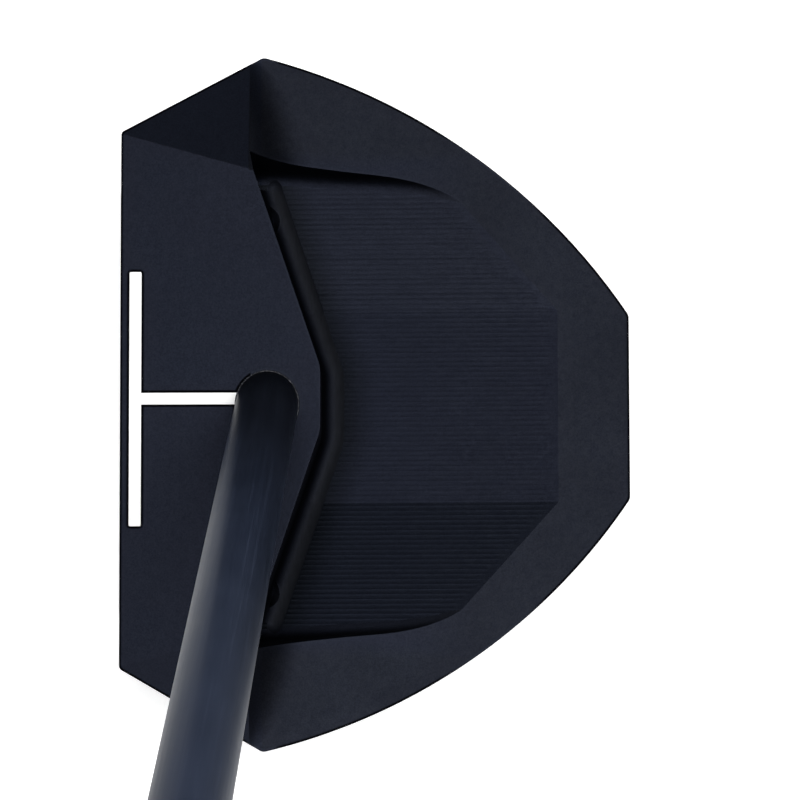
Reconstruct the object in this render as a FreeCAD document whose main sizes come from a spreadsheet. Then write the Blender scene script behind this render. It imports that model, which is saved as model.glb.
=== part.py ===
import FreeCAD, Part
import math
import os

# Mallet putter: a milled mallet head, a parallel-tip steel shaft bonded into an
# angled bore, and a pistol grip.  Units are millimetres, +Z is up.
# Origin: centre of the sole plane.  -X is the target side (the face looks that way),
# +X is the back of the head, +Y is the toe and -Y is the heel (the golfer's side).

V = FreeCAD.Vector
doc = FreeCAD.newDocument("mallet_putter")
sheet = doc.addObject("Spreadsheet::Sheet", "dims")

# ---------------------------------------------------------------------------
# Driving dimensions
# ---------------------------------------------------------------------------
D = {}
_row = [0]


def dim(alias, value):
    _row[0] += 1
    cell = "B%d" % _row[0]
    sheet.set("A%d" % _row[0], alias)
    sheet.set(cell, repr(float(value)))
    sheet.setAlias(cell, alias)
    D[alias] = float(value)


# head blank
dim("deck_height", 25.0)
dim("wall_draft_deg", 15.0)
dim("face_x", -38.15)            # top edge of the face
dim("face_loft_deg", 2.0)
dim("face_foot_x", -38.15 - 25.0 * math.tan(math.radians(2.0)))
dim("side_front_x", -50.0)       # the side line is carried in front of the face, then faced off
dim("side_front_y", 32.954)
dim("rear_arc_cx", -35.52)
dim("rear_arc_cy", -37.55)
dim("rear_arc_r", 93.40)
dim("back_x", 41.67)
dim("side_slope", 0.641)
dim("corner_round", 1.4)
dim("back_round", 1.6)
dim("front_round", 0.8)
dim("sole_bevel", 0.8)
# where the side line meets the rear arc, and where the arc meets the back line
_a = 1.0 + D["side_slope"] ** 2
_y0 = D["side_front_y"] - D["side_slope"] * D["side_front_x"] - D["rear_arc_cy"]
_b = 2 * (D["side_slope"] * _y0 - D["rear_arc_cx"])
_c = D["rear_arc_cx"] ** 2 + _y0 ** 2 - D["rear_arc_r"] ** 2
_wx = (-_b + math.sqrt(_b * _b - 4 * _a * _c)) / (2 * _a)
dim("wide_x", _wx)
dim("wide_y", D["side_front_y"] + D["side_slope"] * (_wx - D["side_front_x"]))
dim("back_y", D["rear_arc_cy"] + math.sqrt(D["rear_arc_r"] ** 2 - (D["back_x"] - D["rear_arc_cx"]) ** 2))
# wing and rim plane, falling towards the back
dim("wing_ref_x", -16.55)
dim("wing_ref_z", 20.5)
dim("wing_slope", 0.128)
# toe and heel facets of the front block
dim("crease_front_x", -37.9)
dim("crease_front_y", 40.2)
dim("crease_rear_x", -18.4)
dim("crease_rear_y", 34.75)
dim("facet_slope", 0.252)
# ridge and cove behind the facets
dim("ridge_x", -18.9)
dim("cove_r", 13.5)
# rear edge of the deck
dim("deck_nose_x", -8.15)
dim("deck_nose_y", 4.8)
dim("deck_diag", 0.3375)
dim("deck_nose_r", 6.0)
# pocket behind the deck
dim("pocket_floor_x", 27.7)      # the centre floor meets the rim plane here
dim("pocket_floor_rise", 0.04)
dim("pocket_side_rise", 0.150)
dim("pocket_mid_y", 14.6)
dim("pocket_draft_deg", 15.0)
dim("pocket_fillet", 2.5)
# ball-end groove along the foot of the deck wall
dim("groove_r", 2.2)
dim("groove_below", 0.30)      # under the floor planes it runs through
dim("groove_end_y", 33.0)
# shaft line
dim("shaft_x", -16.15)
dim("shaft_y", -0.95)
dim("shaft_lean", -0.01486)
dim("shaft_lie", -0.3637)
dim("shaft_tip_dia", 9.4)
dim("shaft_wall", 0.55)
dim("shaft_butt_dia", 14.7)
dim("shaft_step_start", 250.0)
dim("shaft_step_pitch", 35.0)
dim("bore_depth", 19.5)
dim("bond_gap", 0.15)
dim("plug_length", 14.0)
dim("club_length", 864.0)
# alignment mark
dim("mark_x", -36.9)
dim("mark_width", 1.97)
dim("mark_half", 19.28)
dim("mark_stem_width", 1.92)
dim("mark_depth", 0.40)
dim("mark_fill", 0.34)
dim("mark_gap", 0.09)
# face insert
dim("insert_width", 65.0)
dim("insert_height", 18.6)
dim("insert_thick", 4.0)
dim("insert_round", 2.4)
dim("insert_z", 12.2)
dim("insert_proud", 0.12)
dim("film_thick", 0.15)
# insert dowel pins
dim("pin_y", 28.6)
dim("pin_z", 14.72)
dim("pin_dia", 3.5)
dim("pin_front_x", -36.9)
dim("pin_back_x", -18.9)
dim("pin_bevel", 0.4)
dim("pin_bore_x", -18.4)
# ball-nose dimples at the foot of the deck wall, in the groove
dim("dimple_r", 2.5)
dim("dimple_x", -16.24)
dim("dimple_y", 28.4)
dim("dimple_below", 0.55)    # under the groove bottom
dim("dimple_top", 0.90)      # cut up to this height above the groove bottom
# sole weights
dim("weight_dia", 11.0)
dim("weight_len", 8.6)
dim("weight_inset", 0.4)
dim("weight_hex", 4.0)
dim("weight_hex_depth", 3.6)
dim("weight_bevel", 0.4)
dim("weight_bore_bevel", 0.4)
dim("weight_a_x", -26.5)
dim("weight_a_y", 16.0)
dim("weight_b_x", -20.0)
dim("weight_b_y", 33.5)
dim("weight_c_x", 4.5)
dim("weight_c_y", 29.5)
dim("weight_d_x", 25.0)
dim("weight_d_y", 12.0)
# grip
dim("grip_length", 267.0)
dim("grip_mouth", 4.0)
dim("grip_cap", 5.0)
dim("grip_skin", 1.6)
dim("tape_thick", 0.15)
dim("grip_front", 10.6)

doc.recompute()


def val(a):
    """A sheet value: ('alias') or (-1, 'alias')."""
    if isinstance(a, tuple):
        return a[0] * D[a[1]]
    if isinstance(a, str):
        return D[a]
    return float(a)


def expr(a):
    if isinstance(a, tuple):
        return "%s * dims.%s" % (a[0], a[1])
    return "dims.%s" % a


def plane(body, role):
    for f in body.Origin.OriginFeatures:
        if f.Role == role:
            return f
    raise RuntimeError(role)


def closed_sketch(body, name, role, verts, arcs=None, offset=None):
    """A closed profile.  verts is a list of (x, y) sheet references; arcs maps an edge
    index to (radius reference, bulge side, centre reference pair or None)."""
    arcs = arcs or {}
    sk = body.newObject("Sketcher::SketchObject", name)
    sk.AttachmentSupport = [(plane(body, role), "")]
    sk.MapMode = "FlatFace"
    if offset is not None:
        sk.AttachmentOffset = offset
    n = len(verts)
    pts = [V(val(x), val(y), 0) for x, y in verts]
    for i in range(n):
        p, q = pts[i], pts[(i + 1) % n]
        if i in arcs:
            r, side = arcs[i]
            rr = val(r)
            mid = (p + q) * 0.5
            half = (q - p).Length / 2.0
            hgt = rr - math.sqrt(max(rr * rr - half * half, 0.0))
            nrm = V(-(q - p).y, (q - p).x, 0)
            nrm.normalize()
            m = mid + nrm * (hgt * side)
            sk.addGeometry(Part.Arc(p, m, q).toShape().Curve and Part.ArcOfCircle(p, m, q), False)
        else:
            sk.addGeometry(Part.LineSegment(p, q), False)
    import Sketcher

    def endpos(i, want):
        g = sk.Geometry[i]
        return 1 if (g.StartPoint - want).Length < 1e-6 else 2

    for i in range(n):
        j = (i + 1) % n
        shared = pts[j]
        sk.addConstraint(Sketcher.Constraint("Coincident", i, endpos(i, shared), j, endpos(j, shared)))
    for i in range(n):
        pos = endpos(i, pts[i])
        for axis, ref in (("DistanceX", verts[i][0]), ("DistanceY", verts[i][1])):
            c = sk.addConstraint(Sketcher.Constraint(axis, -1, 1, i, pos, val(ref)))
            if not isinstance(ref, (int, float)):
                cn = "v%d_%s" % (i, axis[-1].lower())
                sk.renameConstraint(c, cn)
                sk.setExpression("Constraints." + cn, expr(ref))
    for i, (r, side) in arcs.items():
        c = sk.addConstraint(Sketcher.Constraint("Radius", i, val(r)))
        cn = "radius_%d" % i
        sk.renameConstraint(c, cn)
        sk.setExpression("Constraints." + cn, expr(r))
    return sk


def circle_sketch(body, name, role, dia, centre=(0, 0), offset=None):
    import Sketcher
    sk = body.newObject("Sketcher::SketchObject", name)
    sk.AttachmentSupport = [(plane(body, role), "")]
    sk.MapMode = "FlatFace"
    if offset is not None:
        sk.AttachmentOffset = offset
    sk.addGeometry(Part.Circle(V(centre[0], centre[1], 0), V(0, 0, 1), D[dia] / 2.0), False)
    sk.addConstraint(Sketcher.Constraint("Coincident", 0, 3, -1, 1))
    c = sk.addConstraint(Sketcher.Constraint("Diameter", 0, D[dia]))
    sk.renameConstraint(c, "dia")
    sk.setExpression("Constraints.dia", "dims." + dia)
    return sk


def new_body(label):
    b = doc.addObject("PartDesign::Body", label)
    b.Label = label
    return b


def feature(label, shape, placement=None):
    f = doc.addObject("Part::Feature", label)
    f.Label = label
    f.Shape = shape
    if placement is not None:
        f.Placement = placement
    return f


def edges_where(shape, test):
    out = []
    for i, e in enumerate(shape.Edges):
        if test(e):
            out.append("Edge%d" % (i + 1))
    return out


def wing_z(x):
    return D["wing_ref_z"] - D["wing_slope"] * (x - D["wing_ref_x"])


# the shaft line: the local Z axis of everything threaded on it
axis = V(D["shaft_lean"], D["shaft_lie"], 1.0)
axis.normalize()
deck_point = V(D["shaft_x"], D["shaft_y"], D["deck_height"])
shaft_rot = FreeCAD.Rotation(V(0, 0, 1), axis)


def on_shaft(s):
    """Placement on the shaft line, s mm above the deck."""
    return FreeCAD.Placement(deck_point + axis * s, shaft_rot)


shaft_place = on_shaft(-D["bore_depth"])
# the grip's butt lies club_length above the ground along the shaft line
ground_s = -D["deck_height"] / axis.z
butt_s = D["club_length"] + ground_s
dim("shaft_length", butt_s + D["bore_depth"] - 2.6)
dim("grip_start", butt_s - D["grip_length"])
doc.recompute()

# ---------------------------------------------------------------------------
# 1. Head
# ---------------------------------------------------------------------------
# The blank is the common solid of a drafted block (face, side and back planes) and two
# cones, one for each half of the rounded back wall.


def drafted_block():
    """Convex block bounded by the face plane, the two side planes and the back plane."""
    t = math.tan(math.radians(D["wall_draft_deg"]))
    drop = D["deck_height"] * t
    m = D["side_slope"]
    nl = math.sqrt(1 + m * m)
    reach = 75.0

    def ring(z):
        k = (D["deck_height"] - z) * t
        fx = D["face_x"] - (D["deck_height"] - z) * math.tan(math.radians(D["face_loft_deg"]))
        # side line moved inwards by k along its normal (-m, 1) / nl
        y_at = lambda x: D["side_front_y"] + m * (x - D["side_front_x"]) - k * nl
        xr = (reach - y_at(0.0)) / m
        bx = D["back_x"] - k
        half = [(fx, y_at(fx)), (xr, reach), (bx, reach)]
        return [V(x, y, z) for x, y in half] + [V(x, -y, z) for x, y in reversed(half)]

    lo, hi = ring(0.0), ring(D["deck_height"])
    n = len(lo)
    faces = [Part.Face(Part.makePolygon(lo + [lo[0]])), Part.Face(Part.makePolygon(hi + [hi[0]]))]
    for i in range(n):
        j = (i + 1) % n
        faces.append(Part.Face(Part.makePolygon([lo[i], lo[j], hi[j], hi[i], lo[i]])))
    return Part.makeSolid(Part.makeShell(faces))


dim("rear_foot_r", D["rear_arc_r"] - D["deck_height"] * math.tan(math.radians(D["wall_draft_deg"])))
doc.recompute()
block = feature("drafted_block", drafted_block())
if block.Shape.Volume < 0:
    block.Shape = block.Shape.reversed()
cones = []
for nm, sd in (("back_wall_toe", 1), ("back_wall_heel", -1)):
    k = doc.addObject("Part::Cone", nm)
    k.setExpression("Radius1", "dims.rear_foot_r")
    k.setExpression("Radius2", "dims.rear_arc_r")
    k.setExpression("Height", "dims.deck_height")
    k.setExpression("Placement.Base.x", "dims.rear_arc_cx")
    k.setExpression("Placement.Base.y", "%d * dims.rear_arc_cy" % sd)
    cones.append(k)
common = doc.addObject("Part::MultiCommon", "head_common")
common.Shapes = [block] + cones
doc.recompute()


def corner_edges(shape, x, y, tol):
    out = []
    for i, e in enumerate(shape.Edges):
        if len(e.Vertexes) < 2 or abs(e.Vertexes[0].Z - e.Vertexes[-1].Z) < 20:
            continue
        c = e.valueAt((e.FirstParameter + e.LastParameter) / 2.0)
        if abs(abs(c.y) - y) < tol and abs(c.x - x) < tol:
            out.append(i + 1)
    return out


wide_e = corner_edges(common.Shape, D["wide_x"] + 0.6, D["wide_y"] - 3.5, 3.0)
back_e = corner_edges(common.Shape, D["back_x"] - 3.3, D["back_y"] - 1.0, 3.0)
front_e = corner_edges(common.Shape, D["face_x"] - 0.5, 37.0, 5.0)
rounds = doc.addObject("Part::Fillet", "corner_rounds")
rounds.Base = common
rounds.Edges = ([(i, D["corner_round"], D["corner_round"]) for i in wide_e]
                + [(i, D["back_round"], D["back_round"]) for i in back_e]
                + [(i, D["front_round"], D["front_round"]) for i in front_e])
doc.recompute()
sole_e = [i + 1 for i, e in enumerate(rounds.Shape.Edges) if e.BoundBox.ZMax < 0.01]
blank = doc.addObject("Part::Chamfer", "sole_edge_bevel")
blank.Base = rounds
blank.Edges = [(i, D["sole_bevel"], D["sole_bevel"]) for i in sole_e]
doc.recompute()
print("blank", common.Shape.isValid(), rounds.Shape.isValid(), blank.Shape.isValid(), round(blank.Shape.Volume),
      len(wide_e), len(back_e), len(front_e), len(sole_e))


# --- tools that shape the top of the head ---
def prism(pts, z0, z1):
    w = Part.makePolygon([V(x, y, z0) for x, y in pts] + [V(pts[0][0], pts[0][1], z0)])
    return Part.Face(w).extrude(V(0, 0, z1 - z0))


def xz_prism(pts, y0, y1):
    w = Part.makePolygon([V(x, y0, z) for x, z in pts] + [V(pts[0][0], y0, pts[0][1])])
    return Part.Face(w).extrude(V(0, y1 - y0, 0))


H = D["deck_height"]
TOP = 40.0


# facets: everything above a plane through each crease, falling outwards
def facet_tool(side):
    a = V(D["crease_front_x"], D["crease_front_y"], H)
    b = V(D["crease_rear_x"], D["crease_rear_y"], H)
    along = (b - a)
    along.normalize()
    out = V(-along.y, along.x, 0)
    fall = V(out.x, out.y, -D["facet_slope"])
    fall.normalize()
    a0 = a - along * 30
    b0 = b + along * 30
    w = Part.makePolygon([a0, b0, b0 + fall * 40, a0 + fall * 40, a0])
    s = Part.Face(w).extrude(V(0, 0, 30))
    if side < 0:
        s = s.mirror(V(0, 0, 0), V(0, 1, 0))
    return s


def facet_z(x, y):
    """Height of the facet plane at a point of the toe half."""
    a = V(D["crease_front_x"], D["crease_front_y"], 0)
    b = V(D["crease_rear_x"], D["crease_rear_y"], 0)
    along = b - a
    along.normalize()
    out = V(-along.y, along.x, 0)
    dd = (V(x, y, 0) - a).dot(out)
    return H - max(dd, 0.0) * D["facet_slope"]


# cove: an arc tangent to the wing plane that starts at the ridge line
def cove_section(y):
    th = math.atan(D["wing_slope"])
    up = V(math.sin(th), 0, math.cos(th))
    along = V(math.cos(th), 0, -math.sin(th))
    rx = D["ridge_x"]
    hh = max(facet_z(rx, min(y, 52.4)) - wing_z(rx), 0.04)
    hp = hh * math.cos(th)
    r = D["cove_r"]
    w = math.sqrt(2 * r * hp - hp * hp)
    top = V(rx, 0, wing_z(rx) + hh)
    foot = top - up * hp
    tan = foot + along * w
    cen = tan + up * r
    a0 = math.atan2((top - cen).z, (top - cen).x)
    a1 = math.atan2((tan - cen).z, (tan - cen).x)
    if a1 < a0:
        a1 += 2 * math.pi
    am = (a0 + a1) / 2
    mid = cen + V(math.cos(am), 0, math.sin(am)) * r
    far = V(48.0, 0, wing_z(48.0))
    pts = [top, mid, tan, far]
    pts = [V(p.x, y, p.z) for p in pts]
    e1 = Part.Arc(pts[0], pts[1], pts[2]).toShape()
    e2 = Part.makeLine(pts[2], pts[3])
    e3 = Part.makeLine(pts[3], V(48.0, y, TOP))
    e4 = Part.makeLine(V(48.0, y, TOP), V(rx, y, TOP))
    e5 = Part.makeLine(V(rx, y, TOP), pts[0])
    return Part.Wire([e1, e2, e3, e4, e5])


def cove_tool(side):
    ys = [D["crease_rear_y"], 37.5, 41.0, 44.5, 48.0, 50.5, 52.2, 56.0]
    s = Part.makeLoft([cove_section(y) for y in ys], True, False)
    if side < 0:
        s = s.mirror(V(0, 0, 0), V(0, 1, 0))
    return s


# plan of the block under the deck: nose, diagonals, ridge.  Along the groove it stands
# proud by a margin, so that the groove's round foot, cut later, is left whole.
def deck_edge_x(y):
    return D["deck_nose_x"] - D["deck_diag"] * (y - D["deck_nose_y"])


def deck_plan(extra):
    nx, ny = D["deck_nose_x"], D["deck_nose_y"]
    ge = D["groove_end_y"]
    half = [(nx + extra, ny), (deck_edge_x(ge) + extra, ge), (deck_edge_x(ge), ge),
            (deck_edge_x(D["crease_rear_y"]), D["crease_rear_y"]), (D["ridge_x"], 38.2), (D["ridge_x"], 60.0)]
    return half + [(-60, 60), (-60, -60)] + [(x, -y) for x, y in reversed(half)]


deck_block = prism(deck_plan(1.6), -5, TOP + 5)

yc = D["crease_rear_y"]
slab = xz_prism([(D["ridge_x"], wing_z(D["ridge_x"])), (48, wing_z(48)), (48, TOP), (D["ridge_x"], TOP)], -yc, yc)
centre_cut = slab.cut(deck_block)


# pocket: a centre floor strip and two side floors rising outwards, drafted side
# walls with a fillet at their foot.  Cross-sections at several X are lofted.
def floor_mid(x):
    z0 = wing_z(D["pocket_floor_x"])
    return z0 + D["pocket_floor_rise"] * (x - D["pocket_floor_x"])


def floor_side(x, y):
    return floor_mid(x) + D["pocket_side_rise"] * (abs(y) - D["pocket_mid_y"])


WALL = [(-20.0, 36.85), (-11.4, 36.15), (-3.75, 35.3), (3.8, 34.55), (9.0, 33.6), (11.8, 32.85), (20.0, 30.2)]


def wall_y(x):
    if x <= WALL[0][0]:
        return WALL[0][1]
    for (x0, y0), (x1, y1) in zip(WALL, WALL[1:]):
        if x <= x1:
            return y0 + (y1 - y0) * (x - x0) / (x1 - x0)
    return WALL[-1][1]


def pocket_section(x):
    dr = math.radians(D["pocket_draft_deg"])
    r = D["pocket_fillet"]
    zw, yw = wing_z(x), wall_y(x)
    zc = floor_mid(x)
    ms = D["pocket_side_rise"]
    ym = D["pocket_mid_y"]
    # wall line: y = yw + (z - zw) tan(dr); floor line: z = zc + ms (y - ym)
    t = math.tan(dr)
    # centre of the fillet: r above the floor line, r inside the wall line
    nf = V(0, -ms, 1)
    nf.normalize()
    nw = V(0, -1, t)
    nw.normalize()
    # floor: nf . p = cf ; wall: nw . p = cw
    cf = nf.z * (zc - ms * ym)
    cw = nw.y * (yw - zw * t)
    # solve nf.p = cf + r ; nw.p = cw + r
    a11, a12, b1 = nf.y, nf.z, cf + r
    a21, a22, b2 = nw.y, nw.z, cw + r
    det = a11 * a22 - a12 * a21
    cy = (b1 * a22 - a12 * b2) / det
    cz = (a11 * b2 - b1 * a21) / det
    cen = V(0, cy, cz)
    pf = cen - nf * r
    pw = cen - nw * r
    bis = (nf + nw)
    bis.normalize()
    pm = cen - bis * r
    ytop = yw + (TOP - zw) * t

    def at(p, s):
        return V(x, s * p.y, p.z)

    top_r, top_l = V(x, ytop, TOP), V(x, -ytop, TOP)
    ml, mr = V(x, -ym, zc), V(x, ym, zc)
    es = [Part.makeLine(top_l, at(pw, -1)),
          Part.Arc(at(pw, -1), at(pm, -1), at(pf, -1)).toShape(),
          Part.makeLine(at(pf, -1), ml),
          Part.makeLine(ml, mr),
          Part.makeLine(mr, at(pf, 1)),
          Part.Arc(at(pf, 1), at(pm, 1), at(pw, 1)).toShape(),
          Part.makeLine(at(pw, 1), top_r),
          Part.makeLine(top_r, top_l)]
    return Part.Wire(es)


pocket_solid = Part.makeLoft([pocket_section(x) for x in (-20.0, -11.4, -3.75, 3.8, 9.0, 12.5, 16.0, 22.0)], True, False)
# beyond the side walls the floors run out through the rim plane
tail_w = Part.makePolygon([V(22.0, -26, floor_side(22.0, 26)), V(22.0, -D["pocket_mid_y"], floor_mid(22.0)),
                           V(22.0, D["pocket_mid_y"], floor_mid(22.0)), V(22.0, 26, floor_side(22.0, 26)),
                           V(22.0, 26, TOP), V(22.0, -26, TOP), V(22.0, -26, floor_side(22.0, 26))])
tail = Part.Face(tail_w).extrude(V(20.0, 0, 20.0 * D["pocket_floor_rise"]))
pocket_cut = pocket_solid.fuse(tail).cut(deck_block)
print("pocket", pocket_solid.isValid(), pocket_cut.isValid(), round(pocket_cut.Volume))


# groove: a U profile (ball-end cutter with its shank) run along the deck wall
def groove_tool():
    r = D["groove_r"]
    ang = math.atan(D["deck_diag"])          # direction of the diagonal against Y
    nx, ny = D["deck_nose_x"], D["deck_nose_y"]
    R = D["deck_nose_r"]
    t = R * math.tan(ang / 2.0)
    # tangent points of the corner round on the deck edge (toe half)
    c = V(nx - R, ny - t, 0)                 # centre of the corner round
    out_d = V(math.cos(ang), math.sin(ang), 0)
    run = V(-math.sin(ang), math.cos(ang), 0)
    p1 = V(nx + r, ny - t, 0)                # centre line, end of the straight
    p2 = c + out_d * (R + r)                 # centre line, start of the diagonal
    pm = p2 + run * ((D["pocket_mid_y"] - p2.y) / run.y)
    p3 = p2 + run * ((D["groove_end_y"] - p2.y) / run.y)
    # heights of the centre line: the groove keeps one depth under the floor planes
    up = r - D["groove_below"]
    p1.z = p2.z = floor_mid(p1.x) + up
    pm.z = floor_mid(pm.x) + up
    p3.z = floor_side(p3.x, p3.y) + up

    def u_profile(p, n):
        """U profile in the vertical plane through p with horizontal direction n."""
        a = p - n * r
        b = p + n * r
        m = p - V(0, 0, r)
        at, bt = V(a.x, a.y, TOP), V(b.x, b.y, TOP)
        w = Part.Wire([Part.makeLine(at, a), Part.Arc(a, m, b).toShape(), Part.makeLine(b, bt), Part.makeLine(bt, at)])
        return Part.Face(w)

    parts = [u_profile(V(p1.x, -p1.y, p1.z), V(1, 0, 0)).extrude(V(0, 2 * p1.y, 0))]
    arc = u_profile(p1, V(1, 0, 0)).revolve(V(c.x, c.y, 0), V(0, 0, 1), math.degrees(ang))
    diag_mid = u_profile(p2, out_d).extrude(pm - p2)
    diag_side = u_profile(pm, out_d).extrude(p3 - pm)
    # rounded end: half of the U profile turned about its own upright centre line
    m = p3 - V(0, 0, r)
    a = p3 - out_d * r
    at = V(a.x, a.y, TOP)
    cb = V(p3.x, p3.y, TOP)
    q = p3 + (out_d * (-math.sin(math.pi / 4)) + V(0, 0, -math.cos(math.pi / 4))) * r
    wq = Part.Wire([Part.makeLine(at, a), Part.Arc(a, q, m).toShape(), Part.makeLine(m, cb), Part.makeLine(cb, at)])
    end = Part.Face(wq).revolve(V(p3.x, p3.y, 0), V(0, 0, 1), 360)
    for s in (arc, diag_mid, diag_side, end):
        parts.append(s)
        parts.append(s.mirror(V(0, 0, 0), V(0, 1, 0)))
    res = parts[0]
    res = res.multiFuse(parts[1:])
    return res.removeSplitter()


groove = groove_tool()
print("groove", groove.isValid(), round(groove.Volume))

facets = [facet_tool(1), facet_tool(-1)]
coves = [cove_tool(1), cove_tool(-1)]
print("cove", coves[0].isValid(), round(coves[0].Volume))

tool_facets = feature("facet_cuts", Part.makeCompound(facets))
tool_top = feature("wing_and_cove_cuts", centre_cut.multiFuse(coves))
tool_pocket = feature("pocket_cut", pocket_cut)
tool_groove = feature("groove_cut", groove)

# shaft bore, square to the shaft line and so inclined to the deck
bore = doc.addObject("Part::Cylinder", "shaft_bore")
bore.setExpression("Radius", "dims.shaft_tip_dia / 2 + dims.bond_gap")
bore.setExpression("Height", "dims.bore_depth + 30")
bore.Placement = shaft_place

# alignment mark: a T, cut into the deck and filled
def mark_solid(grow, depth, z0, stem_end):
    x0 = D["mark_x"] - grow
    x1 = D["mark_x"] + D["mark_width"] + grow
    yh = D["mark_half"] + grow
    sw = D["mark_stem_width"] / 2 + grow
    bar = prism([(x0, -yh), (x1, -yh), (x1, yh), (x0, yh)], z0, z0 + depth)
    bar = bar.makeFillet(0.3 + grow, [e for e in bar.Edges if abs(e.Vertexes[0].Z - e.Vertexes[1].Z) > depth * 0.9])
    stem = prism([(x1 - 1.0, -sw), (stem_end, -sw), (stem_end, sw), (x1 - 1.0, sw)], z0, z0 + depth)
    return bar.fuse(stem).removeSplitter()


mark_cut = feature("mark_recess", mark_solid(0.0, D["mark_depth"] + 5, H - D["mark_depth"], D["shaft_x"]))


# insert seat: rounded rectangle square to the face
def face_frame(proud):
    """Placement with local Z along the face normal (outwards) at the insert centre."""
    lo = math.radians(D["face_loft_deg"])
    z = D["insert_z"]
    x = D["face_x"] - (H - z) * math.tan(lo)
    normal = V(-math.cos(lo), 0, math.sin(lo))
    up = V(math.sin(lo), 0, math.cos(lo))
    side = up.cross(normal)
    m = FreeCAD.Matrix(side.x, up.x, normal.x, 0, side.y, up.y, normal.y, 0, side.z, up.z, normal.z, 0, 0, 0, 0, 1)
    rot = FreeCAD.Placement(m).Rotation
    return FreeCAD.Placement(V(x, 0, z) + normal * proud, rot)


dim("insert_half_w", D["insert_width"] / 2)
dim("insert_half_h", D["insert_height"] / 2)
dim("seat_len", D["insert_thick"] - D["insert_proud"] + D["film_thick"])
doc.recompute()


def plate_body(label, length_alias, place, extra_front=0.0):
    """Rounded rectangular plate: its back lies length behind the placement's XY plane."""
    b = new_body(label)
    sk = closed_sketch(b, label + "_profile", "XY_Plane",
                       [((-1, "insert_half_w"), (-1, "insert_half_h")), ("insert_half_w", (-1, "insert_half_h")),
                        ("insert_half_w", "insert_half_h"), ((-1, "insert_half_w"), "insert_half_h")])
    p = b.newObject("PartDesign::Pad", label + "_pad")
    p.Profile = sk
    p.setExpression("Length", "dims." + length_alias)
    p.Reversed = True
    doc.recompute()
    ed = edges_where(b.Shape, lambda e: abs(e.Vertexes[0].Z - e.Vertexes[-1].Z) > D[length_alias] * 0.9)
    f = b.newObject("PartDesign::Fillet", label + "_round")
    f.Base = (p, ed)
    f.setExpression("Radius", "dims.insert_round")
    doc.recompute()
    b.Placement = place
    doc.recompute()
    return b


seat = plate_body("insert_seat", "seat_len", face_frame(0.0))
seat_front = seat.Shape.copy()
seat_open = seat.Shape.copy()
seat_open.translate(face_frame(0).Rotation.multVec(V(0, 0, 3.0)))
tool_seat = feature("insert_seat_cut", seat_open.fuse(seat_front))


# two blind bores run straight back from the insert seat
pin_bores = []
for nm, sd in (("toe", 1), ("heel", -1)):
    c = doc.addObject("Part::Cylinder", "pin_bore_" + nm)
    c.setExpression("Radius", "dims.pin_dia / 2")
    c.setExpression("Height", "dims.pin_bore_x - dims.face_x")
    c.Placement = FreeCAD.Placement(V(D["face_x"], sd * D["pin_y"], D["pin_z"]), FreeCAD.Rotation(V(0, 0, 1), V(1, 0, 0)))
    pin_bores.append(c)
tool_pins = doc.addObject("Part::Compound", "pin_bores")
tool_pins.Links = pin_bores

# dimples: the foot of a ball, at the corner of the groove and the deck wall
dz = floor_side(D["dimple_x"] + D["groove_r"], D["dimple_y"]) - D["groove_below"]
dim("dimple_z", dz - D["dimple_below"] + D["dimple_r"])
dimples = []
for sd in (1, -1):
    ball = Part.makeSphere(D["dimple_r"], V(D["dimple_x"], sd * D["dimple_y"], D["dimple_z"]))
    dimples.append(ball.common(Part.makeBox(12, 12, 12, V(D["dimple_x"] - 6, sd * D["dimple_y"] - 6, dz + D["dimple_top"] - 12))))
tool_dimples = feature("groove_dimples", Part.makeCompound(dimples))

# weight bores in the sole
WEIGHTS = [("front_toe", "weight_a", 1), ("front_heel", "weight_a", -1),
           ("side_toe", "weight_b", 1), ("side_heel", "weight_b", -1),
           ("wing_toe", "weight_c", 1), ("wing_heel", "weight_c", -1),
           ("back_toe", "weight_d", 1), ("back_heel", "weight_d", -1)]
wb = []
for nm, key, sd in WEIGHTS:
    x, y = D[key + "_x"], sd * D[key + "_y"]
    r = D["weight_dia"] / 2
    c = Part.makeCylinder(r, D["weight_len"] + D["weight_inset"] + 1.0, V(x, y, -1.0))
    b = D["weight_bore_bevel"]
    k = Part.makeCone(r + b + 1.0, r, b + 1.0, V(x, y, -1.0))
    wb.append(c.fuse(k))
tool_weights = feature("weight_bores", Part.makeCompound(wb))

doc.recompute()

steps = [tool_facets, tool_top, tool_pocket, tool_groove, bore, mark_cut, tool_seat, tool_pins, tool_dimples, tool_weights]
cur = blank
for i, t in enumerate(steps):
    c = doc.addObject("Part::Cut", "head_cut_%d" % (i + 1))
    c.Base = cur
    c.Tool = t
    doc.recompute()
    print("cut", t.Name, c.Shape.isValid(), len(c.Shape.Solids), round(c.Shape.Volume, 1))
    cur = c
head = cur
head.Label = "head_body"
NODES = [("head_body", head)]

# ---------------------------------------------------------------------------
# 2. Alignment fill
# ---------------------------------------------------------------------------
g = -D["mark_gap"]
fill = mark_solid(g, D["mark_fill"], H - D["mark_depth"], D["shaft_x"])
keep_out = Part.makeCylinder(D["shaft_tip_dia"] / 2 + D["bond_gap"] + 0.02, 60)
keep_out.Placement = on_shaft(-20)
fill = fill.cut(keep_out)
fill_solid = sorted(fill.Solids, key=lambda s: -s.Volume)[0]
NODES.append(("alignment_fill", feature("alignment_fill", fill_solid)))

# ---------------------------------------------------------------------------
# 3. Face insert, bonding film and dowel pins
# ---------------------------------------------------------------------------
insert_blank = plate_body("insert_plate", "insert_thick", face_frame(D["insert_proud"]))


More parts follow.
